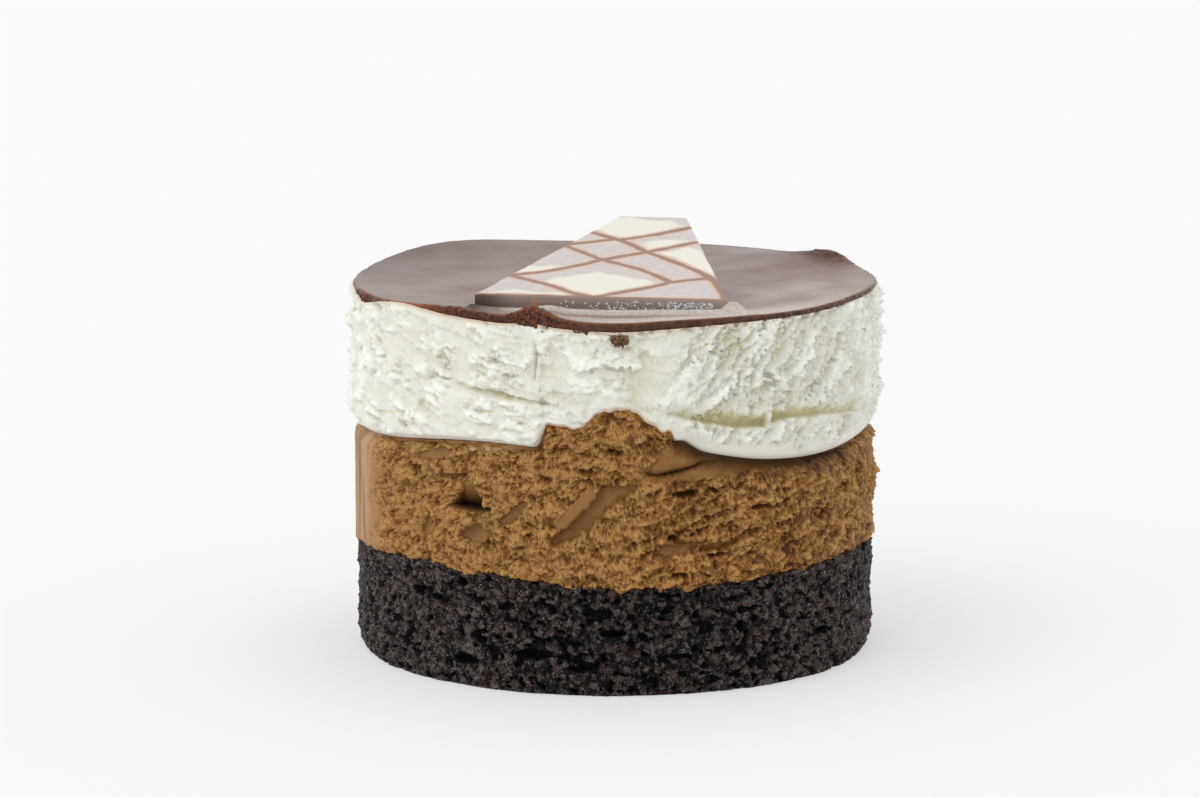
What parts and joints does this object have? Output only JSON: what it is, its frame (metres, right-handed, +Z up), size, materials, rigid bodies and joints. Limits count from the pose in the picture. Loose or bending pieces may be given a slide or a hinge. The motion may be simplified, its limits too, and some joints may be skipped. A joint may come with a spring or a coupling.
{
  "type": "round layered chocolate mousse cake",
  "caption": "Small round cake: dark sponge base, layers of chocolate and white mousse with torn sides, a thin dark glaze, and a tilted lattice-patterned chocolate plaque on top.",
  "frame": {"origin": "centre of the round base, at the level that the cake stands on", "axes": "+Z up along the axis of the round cake; -Y is the front, where the plaque's wide edge lies"},
  "size_m": [0.0711, 0.0709, 0.0566],
  "materials": {
    "dark_sponge": "open dark crumb, matte",
    "chocolate_mousse": "aerated torn mousse, soft sheen on smears",
    "white_mousse": "aerated torn mousse, soft sheen",
    "dark_glaze": "mirror glaze, glossy",
    "marbled_plaque": "tempered chocolate, ivory and grey marbling with a thin brown lattice, dark edges, satin"
  },
  "bodies": {
    "root": {"sponge_base": "dark_sponge", "chocolate_mousse": "chocolate_mousse", "white_mousse": "white_mousse", "chocolate_glaze": "dark_glaze", "chocolate_plaque": "marbled_plaque"}
  },
  "joints": []
}
